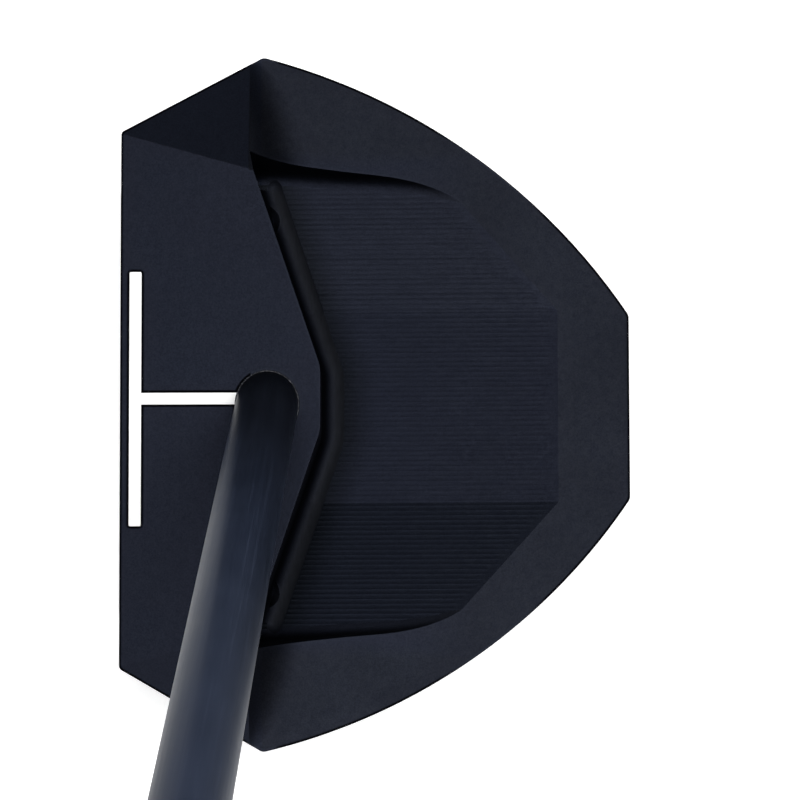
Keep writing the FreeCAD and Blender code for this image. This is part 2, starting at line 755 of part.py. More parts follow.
def pin_body(label, sd):
    b = new_body(label)
    sk = circle_sketch(b, label + "_round", "XY_Plane", "pin_dia")
    p = b.newObject("PartDesign::Pad", label + "_pad")
    p.Profile = sk
    p.setExpression("Length", "dims.pin_back_x - dims.pin_front_x")
    doc.recompute()
    c = b.newObject("PartDesign::Chamfer", label + "_ends")
    c.Base = (p, edges_where(b.Shape, lambda e: e.Curve.TypeId == "Part::GeomCircle"))
    c.setExpression("Size", "dims.pin_bevel")
    doc.recompute()
    b.Placement = FreeCAD.Placement(V(D["pin_front_x"], sd * D["pin_y"], D["pin_z"]), FreeCAD.Rotation(V(0, 0, 1), V(1, 0, 0)))
    return b


pins = doc.addObject("Part::Compound", "pin_pair")
pins.Links = [pin_body("pin_toe", 1), pin_body("pin_heel", -1)]
doc.recompute()
pins.Label = "insert_pins"
sockets = []
for nm, sd in (("toe", 1), ("heel", -1)):
    c = doc.addObject("Part::Cylinder", "pin_socket_" + nm)
    c.setExpression("Radius", "dims.pin_dia / 2")
    c.Height = 12.0
    c.Placement = FreeCAD.Placement(V(D["pin_front_x"], sd * D["pin_y"], D["pin_z"]), FreeCAD.Rotation(V(0, 0, 1), V(1, 0, 0)))
    sockets.append(c)
socket_tool = doc.addObject("Part::Compound", "pin_sockets")
socket_tool.Links = sockets
insert = doc.addObject("Part::Cut", "face_insert_cut")
insert.Base = insert_blank
insert.Tool = socket_tool
doc.recompute()
insert.Label = "face_insert"
NODES.append(("face_insert", insert))

film_blank = plate_body("film_sheet", "film_thick", face_frame(D["insert_proud"] - D["insert_thick"]))
film = doc.addObject("Part::Cut", "insert_film_cut")
film.Base = film_blank
film.Tool = socket_tool
doc.recompute()
film.Label = "insert_bond_film"
NODES.append(("insert_bond_film", film))
NODES.append(("insert_pins", pins))

# ---------------------------------------------------------------------------
# 4. Sole weights: threaded plugs with a hexagon socket
# ---------------------------------------------------------------------------
dim("weight_hex_r", D["weight_hex"] / math.sqrt(3.0))
dim("weight_hex_half", D["weight_hex"] / 2)
dim("weight_hex_rh", D["weight_hex"] / math.sqrt(3.0) / 2)
doc.recompute()
for nm, key, sd in WEIGHTS:
    label = "sole_weight_" + nm
    b = new_body(label)
    sk = circle_sketch(b, label + "_round", "XY_Plane", "weight_dia")
    p = b.newObject("PartDesign::Pad", label + "_pad")
    p.Profile = sk
    p.setExpression("Length", "dims.weight_len")
    doc.recompute()
    hx = closed_sketch(b, label + "_hex", "XY_Plane",
                       [("weight_hex_r", 0.0), ("weight_hex_rh", "weight_hex_half"), ((-1, "weight_hex_rh"), "weight_hex_half"),
                        ((-1, "weight_hex_r"), 0.0), ((-1, "weight_hex_rh"), (-1, "weight_hex_half")),
                        ("weight_hex_rh", (-1, "weight_hex_half"))])
    k = b.newObject("PartDesign::Pocket", label + "_socket")
    k.Profile = hx
    k.setExpression("Length", "dims.weight_hex_depth")
    k.Reversed = True
    doc.recompute()
    before = p.Shape.Volume
    if k.Shape.Volume > before - 1:
        raise RuntimeError("socket cut nothing in " + label)
    ed = edges_where(b.Shape, lambda e: e.Curve.TypeId == "Part::GeomCircle")
    c = b.newObject("PartDesign::Chamfer", label + "_edge")
    c.Base = (k, ed)
    c.setExpression("Size", "dims.weight_bevel")
    doc.recompute()
    b.Placement = FreeCAD.Placement(V(D[key + "_x"], sd * D[key + "_y"], D["weight_inset"]),
                                    FreeCAD.Rotation(V(0, 0, 1), 30 if sd > 0 else 0))
    NODES.append((label, b))

# ---------------------------------------------------------------------------
# 5. Shaft line: bond sleeve, shaft, tip plug
# ---------------------------------------------------------------------------
rb = D["shaft_tip_dia"] / 2 + D["bond_gap"]
sleeve = Part.makeCylinder(rb, D["bore_depth"] + 4).cut(Part.makeCylinder(D["shaft_tip_dia"] / 2, D["bore_depth"] + 4))
sleeve.Placement = shaft_place
below = Part.makeBox(60, 60, 60, V(-46, -30, H - 0.12 - 60))
NODES.append(("shaft_bond_sleeve", feature("shaft_bond_sleeve", sleeve.common(below))))

shaft = new_body("shaft")
rt, rbutt, wall = D["shaft_tip_dia"] / 2, D["shaft_butt_dia"] / 2, D["shaft_wall"]
nstep = 9
dim("shaft_bore_r", rt - wall)
dim("shaft_tip_r", rt)
dim("shaft_butt_r", rbutt)
dim("shaft_butt_in_r", rbutt - wall)
outer = [("shaft_tip_r", 0.0)]
for i in range(nstep):
    z = D["bore_depth"] + D["shaft_step_start"] + i * D["shaft_step_pitch"]
    r_lo = rt + (rbutt - rt) * i / nstep
    r_hi = rt + (rbutt - rt) * (i + 1) / nstep
    for tag, rr, zz in (("lo", r_lo, z), ("hi", r_hi, z + 1.6)):
        dim("step_%s_r_%s" % (chr(97 + i), tag), rr)
        dim("step_%s_z_%s" % (chr(97 + i), tag), zz)
        dim("step_%s_q_%s" % (chr(97 + i), tag), rr - wall)
        outer.append(("step_%s_r_%s" % (chr(97 + i), tag), "step_%s_z_%s" % (chr(97 + i), tag)))
outer.append(("shaft_butt_r", "shaft_length"))
inner = [("shaft_butt_in_r", "shaft_length")]
for i in reversed(range(nstep)):
    for tag in ("hi", "lo"):
        inner.append(("step_%s_q_%s" % (chr(97 + i), tag), "step_%s_z_%s" % (chr(97 + i), tag)))
inner.append(("shaft_bore_r", 0.0))
doc.recompute()
prof = closed_sketch(shaft, "shaft_profile", "XZ_Plane", outer + inner)
rev = shaft.newObject("PartDesign::Revolution", "shaft_tube")
rev.Profile = prof
rev.ReferenceAxis = (prof, ["V_Axis"])
rev.Angle = 360
doc.recompute()
shaft.Placement = shaft_place
print("shaft", shaft.Shape.isValid(), round(shaft.Shape.Volume), "length", round(D["shaft_length"], 2))
NODES.append(("shaft", shaft))

plug = new_body("shaft_tip_plug")
dim("plug_dia", 2 * (rt - wall))
doc.recompute()
sk = circle_sketch(plug, "plug_round", "XY_Plane", "plug_dia")
p = plug.newObject("PartDesign::Pad", "plug_pad")
p.Profile = sk
p.setExpression("Length", "dims.plug_length")
doc.recompute()
plug.Placement = shaft_place
NODES.append(("shaft_tip_plug", plug))

# ---------------------------------------------------------------------------
# 6. Grip: tape, underlisting, outer skin, mouth collar, butt cap
# ---------------------------------------------------------------------------
grip_s = D["grip_start"]
GL = D["grip_length"]
# local stations: height above the mouth, half width, depth front to back
STATIONS = [(0.0, 10.4, 20.6), (4.0, 10.9, 21.3), (60.0, 12.2, 22.6), (120.0, 12.9, 23.6), (180.0, 13.4, 25.2),
            (222.0, 13.9, 28.6), (246.0, 14.2, 30.0), (262.0, 14.1, 29.6), (267.0, 13.9, 29.2)]


def station(z):
    for (z0, a0, d0), (z1, a1, d1) in zip(STATIONS, STATIONS[1:]):
        if z <= z1:
            t = (z - z0) / (z1 - z0)
            return a0 + (a1 - a0) * t, d0 + (d1 - d0) * t
    return STATIONS[-1][1:]


def grip_points(z, inset):
    hw, depth = station(z)
    front = D["grip_front"]
    cy = front - depth * 0.42
    bf, bb = front - cy, depth - (front - cy)
    n = 32
    raw = []
    for i in range(n):
        th = 2 * math.pi * i / n
        c, s = math.cos(th), math.sin(th)
        e = 2.0 / (3.4 if s > 0 else 2.15)
        x = hw * math.copysign(abs(c) ** e, c)
        y = cy + (bf if s > 0 else bb) * math.copysign(abs(s) ** e, s)
        raw.append(V(x, y, 0))
    out = []
    for i in range(n):
        tan = raw[(i + 1) % n] - raw[i - 1]
        nrm = V(tan.y, -tan.x, 0)
        nrm.normalize()
        p = raw[i] - nrm * inset
        out.append(V(p.x, p.y, z))
    return out


def grip_wire(z, inset):
    b = Part.BSplineCurve()
    b.interpolate(Points=grip_points(z, inset), PeriodicFlag=True)
    return Part.Wire([b.toShape()])


def grip_loft(zs, inset):
    return Part.makeLoft([grip_wire(z, inset) for z in zs], True, False)


zs_mid = [4.0, 60.0, 120.0, 180.0, 222.0, 246.0, 262.0]
outer_s = grip_loft(zs_mid, 0.0)
core_s = grip_loft(zs_mid, D["grip_skin"])
rshaft = rbutt
rtape = rbutt + D["tape_thick"]
hole = Part.makeCylinder(rtape, GL + 20, V(0, 0, -10))
skin = outer_s.cut(core_s)
core = core_s.cut(hole)
tape = Part.makeCylinder(rtape, GL - 6.0, V(0, 0, 1.0)).cut(Part.makeCylinder(rshaft, GL, V(0, 0, -2)))
mouth = grip_loft([0.0, 4.0], 0.0).cut(Part.makeCylinder(rshaft + 0.02, 1.0 + 10, V(0, 0, -10))).cut(Part.makeCylinder(rtape, 20, V(0, 0, 1.0)))
cap = grip_loft([262.0, 267.0], 0.0)
cap_edges = [e for e in cap.Edges if e.BoundBox.ZMin > GL - 0.01]
cap = cap.makeFillet(1.8, cap_edges)
# the shaft and tape run 2.4 mm into the cap; a vent hole goes through it
cap = cap.cut(Part.makeCylinder(rtape, 10, V(0, 0, GL - 2.6 - 10))).cut(Part.makeCylinder(1.5, 20, V(0, 0, GL - 10)))
tape = Part.makeCylinder(rtape, GL - 2.6 - 1.0, V(0, 0, 1.0)).cut(Part.makeCylinder(rshaft, GL, V(0, 0, -2)))
gp = on_shaft(grip_s)
for label, s in (("grip_tape", tape), ("grip_underlisting", core), ("grip_skin", skin),
                 ("grip_mouth_collar", mouth), ("grip_butt_cap", cap)):
    print(label, s.isValid(), len(s.Solids), round(s.Volume, 1))
    NODES.append((label, feature(label, s.Solids[0] if len(s.Solids) == 1 else s, gp)))

# ---------------------------------------------------------------------------
# Check everything, then write one file per sub-part
# ---------------------------------------------------------------------------
doc.recompute()
bad = [o.Name for o in doc.Objects if "Invalid" in o.State or "Error" in o.State]
if bad:
    raise RuntimeError("failed objects: " + ", ".join(bad))
os.makedirs("parts", exist_ok=True)
for name, obj in NODES:
    if obj.Shape.isNull() or not obj.Shape.isValid():
        raise RuntimeError("bad shape: " + name)
for name, obj in NODES:
    obj.Shape.exportStep("parts/%s.step" % name)
    bb = obj.Shape.BoundBox
    print("%-24s solids %d vol %10.2f  x %.2f..%.2f y %.2f..%.2f z %.2f..%.2f" % (
        name, len(obj.Shape.Solids), obj.Shape.Volume, bb.XMin, bb.XMax, bb.YMin, bb.YMax, bb.ZMin, bb.ZMax))
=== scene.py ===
import math
import bmesh
import bpy
from mathutils import Euler, Matrix, Vector


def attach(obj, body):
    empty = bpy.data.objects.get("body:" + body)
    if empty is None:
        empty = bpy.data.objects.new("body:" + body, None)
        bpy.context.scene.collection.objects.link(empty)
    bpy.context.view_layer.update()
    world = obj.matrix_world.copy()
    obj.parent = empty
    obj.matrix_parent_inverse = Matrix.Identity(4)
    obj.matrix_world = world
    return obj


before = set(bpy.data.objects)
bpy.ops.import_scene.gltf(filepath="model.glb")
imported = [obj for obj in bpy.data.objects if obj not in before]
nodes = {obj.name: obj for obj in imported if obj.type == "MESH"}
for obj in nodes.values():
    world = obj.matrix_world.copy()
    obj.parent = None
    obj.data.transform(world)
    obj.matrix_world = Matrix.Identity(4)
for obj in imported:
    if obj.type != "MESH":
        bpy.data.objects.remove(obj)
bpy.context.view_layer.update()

scene = bpy.context.scene
scene.view_settings.view_transform = "Standard"
scene.view_settings.look = "None"

# ---------------------------------------------------------------------------
# camera: over the heel side of the head, looking down on the deck
# ---------------------------------------------------------------------------
cam_data = bpy.data.cameras.new("camera")
cam_data.sensor_width = 36.0
cam_data.lens = 5237.3 / 800 * 36.0
cam_data.clip_start = 0.02
cam = bpy.data.objects.new("camera", cam_data)
cam.matrix_world = (Matrix.Translation((0.00754, -0.10005, 0.803)) @ Matrix.Rotation(-0.00293, 4, "Z")
                    @ Matrix.Rotation(0.12748, 4, "X") @ Matrix.Rotation(0.00517, 4, "Y"))
scene.collection.objects.link(cam)
scene.camera = cam


# ---------------------------------------------------------------------------
# light and floor
# ---------------------------------------------------------------------------
def softbox(name, at, to, size, size_y, power, colour=(1, 1, 1)):
    d = bpy.data.lights.new(name, "AREA")
    d.shape = "RECTANGLE"
    d.size, d.size_y = size, size_y
    d.energy = power
    d.color = colour
    o = bpy.data.objects.new(name, d)
    o.location = at
    o.rotation_euler = (Vector(to) - Vector(at)).to_track_quat("-Z", "Y").to_euler()
    scene.collection.objects.link(o)
    return o


world = bpy.data.worlds.new("studio")
world.use_nodes = True
world.node_tree.nodes["Background"].inputs[0].default_value = (1.0, 1.0, 1.0, 1)
world.node_tree.nodes["Background"].inputs[1].default_value = 0.05
scene.world = world

# name, direction it comes from (degrees round from +X, degrees up), watts
for name, around, up, power in (("top", 0, 88, 9.3), ("top_back", 0, 70, 10.5), ("top_face", 180, 70, 2.6), ("heel", -90, 60, 6.2),
                                ("toe", 90, 40, 3.5), ("toe_low", 90, 20, 0.9), ("face_low", 180, 25, 5.3), ("back_low", 0, 25, 0.6)):
    a, e = math.radians(around), math.radians(up)
    at = Vector((math.cos(a) * math.cos(e), math.sin(a) * math.cos(e), math.sin(e))) * 1.7
    softbox(name, at, (0, 0, 0), 0.6, 0.6, power)
# below the floor: reaches the sole only if the floor is taken away
softbox("under", (0.2, -0.4, -1.6), (0, 0, 0), 1.2, 1.2, 14.0)


# ---------------------------------------------------------------------------
# node helpers
# ---------------------------------------------------------------------------
class Nodes:
    """A material's node tree, with short names for the nodes that it needs."""

    def __init__(self, name):
        self.mat = bpy.data.materials.new(name)
        self.mat.use_nodes = True
        self.t = self.mat.node_tree
        self.bsdf = self.t.nodes["Principled BSDF"]
        self.out = self.t.nodes["Material Output"]
        self.tc = self.t.nodes.new("ShaderNodeTexCoord")
        self.pos = self.tc.outputs["Object"]

    def n(self, kind, **props):
        node = self.t.nodes.new(kind)
        for k, v in props.items():
            setattr(node, k, v)
        return node

    def put(self, socket, value):
        if isinstance(value, bpy.types.NodeSocket):
            self.t.links.new(value, socket)
        elif isinstance(value, (tuple, list)) and len(value) == 3 and socket.type == "RGBA":
            socket.default_value = (*value, 1.0)
        else:
            socket.default_value = value

    def math(self, op, a, b=0.0, c=0.0, clamp=False):
        m = self.n("ShaderNodeMath", operation=op, use_clamp=clamp)
        self.put(m.inputs[0], a)
        self.put(m.inputs[1], b)
        self.put(m.inputs[2], c)
        return m.outputs[0]

    def noise(self, scale, detail=2.0, rough=0.5, at=None, kind="fBM"):
        m = self.n("ShaderNodeTexNoise")
        self.put(m.inputs["Vector"], self.pos if at is None else at)
        m.inputs["Scale"].default_value = scale
        m.inputs["Detail"].default_value = detail
        m.inputs["Roughness"].default_value = rough
        return m.outputs["Fac"]

    def voronoi(self, scale, at=None, feature="F1", out="Distance", rand=1.0):
        m = self.n("ShaderNodeTexVoronoi", feature=feature)
        self.put(m.inputs["Vector"], self.pos if at is None else at)
        m.inputs["Scale"].default_value = scale
        m.inputs["Randomness"].default_value = rand
        return m.outputs[out]

    def ramp(self, fac, lo, hi, to_lo=0.0, to_hi=1.0, smooth=False):
        m = self.n("ShaderNodeMapRange", clamp=True)
        if smooth:
            m.interpolation_type = "SMOOTHSTEP"
        self.put(m.inputs["Value"], fac)
        for k, v in (("From Min", lo), ("From Max", hi), ("To Min", to_lo), ("To Max", to_hi)):
            self.put(m.inputs[k], v)
        return m.outputs["Result"]

    def mix(self, fac, a, b, mode="MIX"):
        m = self.n("ShaderNodeMix", data_type="RGBA", blend_type=mode, clamp_factor=True)
        self.put(m.inputs[0], fac)
        self.put(m.inputs[6], a)
        self.put(m.inputs[7], b)
        return m.outputs[2]

    def frame(self, loc, rot):
        m = self.n("ShaderNodeMapping", vector_type="TEXTURE")
        self.put(m.inputs["Vector"], self.pos)
        m.inputs["Location"].default_value = loc
        m.inputs["Rotation"].default_value = rot
        return m.outputs["Vector"]

    def scale(self, at, xyz):
        m = self.n("ShaderNodeMapping", vector_type="POINT")
        self.put(m.inputs["Vector"], at)
        m.inputs["Scale"].default_value = xyz
        return m.outputs["Vector"]

    def xyz(self, at=None):
        m = self.n("ShaderNodeSeparateXYZ")
        self.put(m.inputs[0], self.pos if at is None else at)
        return m.outputs[0], m.outputs[1], m.outputs[2]

    def bump(self, height, dist, strength=1.0, normal=None):
        m = self.n("ShaderNodeBump")
        self.put(m.inputs["Height"], height)
        m.inputs["Distance"].default_value = dist
        m.inputs["Strength"].default_value = strength
        if normal is not None:
            self.put(m.inputs["Normal"], normal)
        return m.outputs["Normal"]

    def edge(self, radius, samples=8):
        m = self.n("ShaderNodeBevel", samples=samples)
        m.inputs["Radius"].default_value = radius
        return m.outputs["Normal"]

    def set(self, **kw):
        names = {"color": "Base Color", "rough": "Roughness", "metal": "Metallic", "normal": "Normal",
                 "spec": "Specular IOR Level", "tint": "Specular Tint", "coat": "Coat Weight",
                 "coat_rough": "Coat Roughness", "aniso": "Anisotropic", "sheen": "Sheen Weight",
                 "sheen_rough": "Sheen Roughness", "ior": "IOR"}
        for k, v in kw.items():
            self.put(self.bsdf.inputs[names[k]], v)
        return self.mat


def give(node, mat):
    o = nodes[node]
    if not o.material_slots:
        o.data.materials.append(mat)
    for s in o.material_slots:
        s.material = mat


def mesh_object(name, verts, faces, mat, slot=None, smooth=False):
    me = bpy.data.meshes.new(name)
    me.from_pydata([tuple(v) for v in verts], [], faces)
    me.validate()
    me.materials.append(mat)
    if smooth:
        me.polygons.foreach_set("use_smooth", [True] * len(me.polygons))
    o = bpy.data.objects.new(name, me)
    scene.collection.objects.link(o)
    return o


# floor
m = Nodes("studio_floor")
v = m.noise(9.0, 3.0)
m.set(color=m.mix(m.ramp(v, 0.3, 0.7), (0.93, 0.93, 0.93), (0.95, 0.95, 0.95)), rough=0.9, spec=0.0)
m.bsdf.inputs["Emission Color"].default_value = (1.0, 1.0, 1.0, 1.0)
m.bsdf.inputs["Emission Strength"].default_value = 0.50
floor = mesh_object("studio_floor", [(-60, -60, -0.0003), (60, -60, -0.0003), (60, 60, -0.0003), (-60, 60, -0.0003)], [(0, 1, 2, 3)], m.mat)

# ---------------------------------------------------------------------------
# shaft line: its local Z runs up the shaft from the deck
# ---------------------------------------------------------------------------
axis = Vector((-0.01486, -0.3637, 1.0)).normalized()
deck_at = Vector((-0.01615, -0.00095, 0.025))
axis_rot = axis.to_track_quat("Z", "Y").to_euler()
SHAFT = (0.0445, 0.0527, 0.079)
SHAFT_TINT = (0.384, 0.387, 0.386)
SHAFT_ROUGH = 0.33
GRIP_LO, GRIP_HI = 0.5744, 0.8324          # ends of the grip skin, up the shaft from the deck

# ---------------------------------------------------------------------------
# materials of the head
# ---------------------------------------------------------------------------
HEAD = (0.0083, 0.0096, 0.0149)
WING = (0.0075, 0.0085, 0.0118)
FLOOR = (0.0071, 0.0082, 0.0129)
GROOVE = (0.0098, 0.0107, 0.0135)


def head_material(name, milled=False):
    """Bead-blasted dark finish: fine grit, soft clouds, painted shade along the rounded outer edge, worn inner edges
    with a painted highlight.
    """
    m = Nodes(name)
    x, y, z = m.xyz()
    grit = m.noise(4300.0, 3.0, 0.65)
    blotch = m.noise(900.0, 3.0, 0.6)
    cloud = m.noise(55.0, 4.0, 0.6)
    # the open wings and rim are a little greyer and coarser than the deck and floor
    wing = m.math("MAXIMUM", m.ramp(x, 0.002, 0.016), m.math("MULTIPLY", m.ramp(m.math("ABSOLUTE", y), 0.0360, 0.0385), m.ramp(x, -0.0173, -0.0168)))
    base = FLOOR if milled else HEAD
    col = m.mix(m.ramp(cloud, 0.3, 0.7), tuple(c * 0.94 for c in base), tuple(c * 1.06 for c in base))
    col = m.mix(m.math("MULTIPLY", wing, 0.0 if milled else 0.7), col, WING)
    if milled:
        # painted light and shade: the toe side of the floor, tilted toward the heel light, is painted lighter and the
        # heel side darker
        col = m.mix(m.ramp(y, 0.0085, 0.0205), col, m.mix(1.0, col, (1.18, 1.18, 1.15), "MULTIPLY"))
        col = m.mix(m.ramp(y, -0.0143, -0.0149), col, m.mix(1.0, col, (0.91, 0.95, 0.95), "MULTIPLY"))
        # painted shade: darker beside the groove, where the deck wall shades the floor, a little lighter further out,
        # and the centre plane a little darker than the side planes
        off = m.math("ADD", m.math("ADD", x, 0.00815), m.math("MULTIPLY", m.math("MAXIMUM", m.math("SUBTRACT", m.math("ABSOLUTE", y), 0.0048), 0.0), 0.3375))
        painted_floor_shading = m.mix(m.ramp(off, 0.010, 0.028), (1.08, 1.09, 1.10), (0.97, 0.97, 0.97))
        painted_floor_shading = m.mix(m.ramp(off, 0.0022, 0.0092, smooth=True), (0.56, 0.56, 0.48), painted_floor_shading)
        painted_floor_shading = m.mix(m.ramp(m.math("ABSOLUTE", y), 0.0149, 0.0143), painted_floor_shading, m.mix(1.0, painted_floor_shading, (0.925, 0.93, 0.945), "MULTIPLY"))
        col = m.mix(1.0, col, painted_floor_shading, "MULTIPLY")
    else:
        # painted shade: the toe facet, tilted away from the light, is painted darker than the deck
        painted_toe_facet_shade = m.math("MULTIPLY", m.math("LESS_THAN", z, 0.02497), m.math("MULTIPLY", m.math("LESS_THAN", x, -0.0172), m.math("GREATER_THAN", y, 0.02)))
        col = m.mix(painted_toe_facet_shade, col, m.mix(1.0, col, (0.83, 0.88, 0.92), "MULTIPLY"))
    col = m.mix(m.ramp(grit, 0.34, 0.66), m.mix(1.0, col, (0.76, 0.76, 0.77), "MULTIPLY"), m.mix(1.0, col, (1.22, 1.22, 1.21), "MULTIPLY"))
    soft = m.math("MULTIPLY", m.ramp(blotch, 0.35, 0.65), m.math("ADD", 0.35, m.math("MULTIPLY", wing, 0.65)))
    col = m.mix(soft, col, m.mix(1.0, col, (1.20, 1.19, 1.14), "MULTIPLY"))
    rough = m.ramp(cloud, 0.25, 0.75, 0.44, 0.52)
    if milled:
        streak = m.noise(1.0, 3.0, 0.6, at=m.scale(m.pos, (260.0, 7000.0, 260.0)))
        col = m.mix(m.ramp(streak, 0.35, 0.65), m.mix(1.0, col, (0.88, 0.88, 0.88), "MULTIPLY"), m.mix(1.0, col, (1.10, 1.10, 1.10), "MULTIPLY"))
        m.set(color=col, rough=rough, metal=1.0, normal=m.bump(grit, 0.00002, 0.5))
        return m.mat
    round_n = m.edge(0.00014)
    geo = m.n("ShaderNodeNewGeometry")
    dot = m.n("ShaderNodeVectorMath", operation="DOT_PRODUCT")
    m.put(dot.inputs[0], m.edge(0.00075, 16))
    m.put(dot.inputs[1], geo.outputs["True Normal"])
    edge = m.ramp(dot.outputs["Value"], 0.992, 0.975)
    away = m.math("SQRT", m.math("ADD", m.math("MULTIPLY", x, x), m.math("MULTIPLY", m.math("MULTIPLY", y, y), 0.64)))
    step = m.ramp(m.math("ABSOLUTE", m.math("ADD", x, 0.0170)), 0.0014, 0.0026)
    painted_outline_shade = m.math("MULTIPLY", m.ramp(away, 0.0338, 0.0347), step)
    mark = m.math("MULTIPLY", m.math("LESS_THAN", x, -0.0186), m.math("LESS_THAN", m.math("ABSOLUTE", y), 0.021))
    painted_outline_shade = m.math("MAXIMUM", painted_outline_shade, mark)
    edge_wear_and_highlight = m.math("MULTIPLY", m.math("SUBTRACT", 1.0, painted_outline_shade), m.ramp(m.noise(420.0, 3.0), 0.3, 0.7, 0.45, 1.0))
    # painted shade: a near-black line along the rounded outer edges and round the T mark
    col = m.mix(m.math("MULTIPLY", edge, painted_outline_shade), col, (0.0006, 0.0006, 0.0010))
    # edge wear with a painted highlight: the inner edges are painted lighter
    col = m.mix(m.math("MULTIPLY", edge, edge_wear_and_highlight), col, (0.0100, 0.0115, 0.0170))
    # the groove along the deck edge is left as cut: duller and more even than the blasted faces
    xe = m.math("SUBTRACT", -0.00815, m.math("MULTIPLY", m.math("MAXIMUM", m.math("SUBTRACT", m.math("ABSOLUTE", y), 0.0048), 0.0), 0.3375))
    off = m.math("SUBTRACT", x, xe)
    cut = m.math("MULTIPLY", m.math("MULTIPLY", m.ramp(off, 0.0008, 0.0022), m.ramp(off, 0.00385, 0.0034)),
                 m.math("MULTIPLY", m.ramp(z, 0.0188, 0.0180), m.math("LESS_THAN", m.math("ABSOLUTE", y), 0.0352)))
    cut = m.math("MULTIPLY", cut, m.math("MULTIPLY", m.math("GREATER_THAN", z, 0.010), m.ramp(m.math("ABSOLUTE", y), 0.0352, 0.0325)))
    tool = m.noise(1.0, 3.0, 0.6, at=m.scale(m.pos, (3000.0, 500.0, 500.0)))
    raw = m.mix(m.ramp(tool, 0.35, 0.65), GROOVE, tuple(c * 1.25 for c in GROOVE))
    col = m.mix(cut, col, raw)
    m.set(color=col, rough=m.math("ADD", rough, m.math("MULTIPLY", cut, 0.08)), metal=m.ramp(cut, 0.0, 1.0, 1.0, 0.28),
          spec=0.0, normal=m.bump(grit, 0.00002, 0.5, round_n))
    return m.mat


head_mat = head_material("head_anodised")
give("head_body", head_mat)
floor_mat = head_material("pocket_floor_milled", milled=True)


# ---------------------------------------------------------------------------
# the milled floor of the pocket: cutter passes along X, as a thin closed skin
# on the three floor planes, with its underside inside the head
# ---------------------------------------------------------------------------
MM = 0.001


def wing_z(x):
    return 20.5 - 0.128 * (x + 16.55)


def floor_z(x, y):
    return wing_z(27.7) + 0.04 * (x - 27.7) + 0.150 * max(0.0, abs(y) - 14.6)


def pass_height(x, y):
    """Height in mm of the scallops above the floor planes; they run out where the floor meets the wing."""
    k = y / PASS
    n = math.floor(k)
    u = k - n
    own = 0.5 + 0.5 * math.sin(n * 2.399 + 1.3 * math.sin(n * 0.731))
    below = max(0.0, min(1.0, (wing_z(x) - floor_z(x, y)) / RUN_OUT))
    fade = below * below * (3 - 2 * below)
    tall = SCALLOP * (0.62 if y < -14.6 else 1.05 if y > 14.6 else 0.42)
    return 0.001 + fade * (0.002 + tall * (1 + 0.35 * own) * (2 * u - 1) ** 2)


SCALLOP = 0.028
RUN_OUT = 0.42      # depth below the wing plane at which the passes reach full height
PASS = 0.754


def milled_floor(mat):
    src = bmesh.new()
    src.from_mesh(nodes["head_body"].data)
    keep = []
    for f in src.faces:
        if f.normal.z > 0.97 and all(abs(v.co.z / MM - floor_z(v.co.x / MM, v.co.y / MM)) < 0.01 for v in f.verts) \
                and -19 < f.calc_center_median().x / MM < 28.5:
            keep.append([tuple(v.co) for v in f.verts])
    src.free()
    bm = bmesh.new()
    seen = {}
    for f in keep:
        vs = []
        for c in f:
            k = tuple(round(q * 1e7) for q in c)
            if k not in seen:
                seen[k] = bm.verts.new(c)
            vs.append(seen[k])
        if len(set(vs)) >= 3:
            try:
                bm.faces.new(vs)
            except ValueError:
                pass
    bmesh.ops.dissolve_limit(bm, angle_limit=math.radians(0.05), use_dissolve_boundaries=False,
                             verts=bm.verts[:], edges=bm.edges[:])
    lo = min(v.co.y for v in bm.verts) / MM
    hi = max(v.co.y for v in bm.verts) / MM
    steps = 6
    k = math.ceil(lo / PASS * steps)
    while k <= hi / PASS * steps:
        bmesh.ops.bisect_plane(bm, geom=bm.verts[:] + bm.edges[:] + bm.faces[:], dist=1e-8,
                               plane_co=(0, k * PASS / steps * MM, 0), plane_no=(0, 1, 0))
        k += 1
    # extra cuts close to the rear crease, where the passes fade
    for q in (0.12, 0.28, 0.5, 0.75, 1.0):
        d = q * RUN_OUT
        for side in (-1, 0, 1):
            no = Vector((0.168, 0.150 * side, 0))
            co = Vector((27.7 - d / 0.168, 14.6 * side, 0)) * MM
            bmesh.ops.bisect_plane(bm, geom=bm.verts[:] + bm.edges[:] + bm.faces[:], dist=1e-8, plane_co=co, plane_no=no)
    bmesh.ops.triangulate(bm, faces=[f for f in bm.faces if len(f.verts) > 4])
    top = bm.faces[:]
    under = bmesh.ops.extrude_face_region(bm, geom=top, use_keep_orig=True)["geom"]
    for v in (g for g in under if isinstance(g, bmesh.types.BMVert)):
        v.co.z -= 0.15 * MM
    moved = {v for f in top for v in f.verts}
    for v in moved:
        v.co.z = (floor_z(v.co.x / MM, v.co.y / MM) + pass_height(v.co.x / MM, v.co.y / MM)) * MM
    bmesh.ops.recalc_face_normals(bm, faces=bm.faces[:])
    me = bpy.data.meshes.new("pocket_floor_milling")
    bm.to_mesh(me)
    bm.free()
    me.materials.append(mat)
    o = bpy.data.objects.new("pocket_floor_milling", me)
    scene.collection.objects.link(o)
    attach(o, "root")
    return o


milled = milled_floor(floor_mat)
print("milled floor", len(milled.data.polygons), "faces")

m = Nodes("mark_paint")
v = m.noise(900.0, 3.0, 0.6)
w = m.noise(4000.0, 2.0, 0.5)
m.set(color=m.mix(m.ramp(v, 0.3, 0.7), (0.90, 0.90, 0.89), (0.96, 0.96, 0.955)), rough=m.ramp(v, 0.3, 0.7, 0.38, 0.5),
      normal=m.bump(w, 0.00001, 0.3), spec=0.4)
# painted light: the white fill glows faintly so it stays white in the shaft's shadow
m.bsdf.inputs["Emission Color"].default_value = (1.0, 1.0, 1.0, 1.0)
m.bsdf.inputs["Emission Strength"].default_value = 0.12
give("alignment_fill", m.mat)

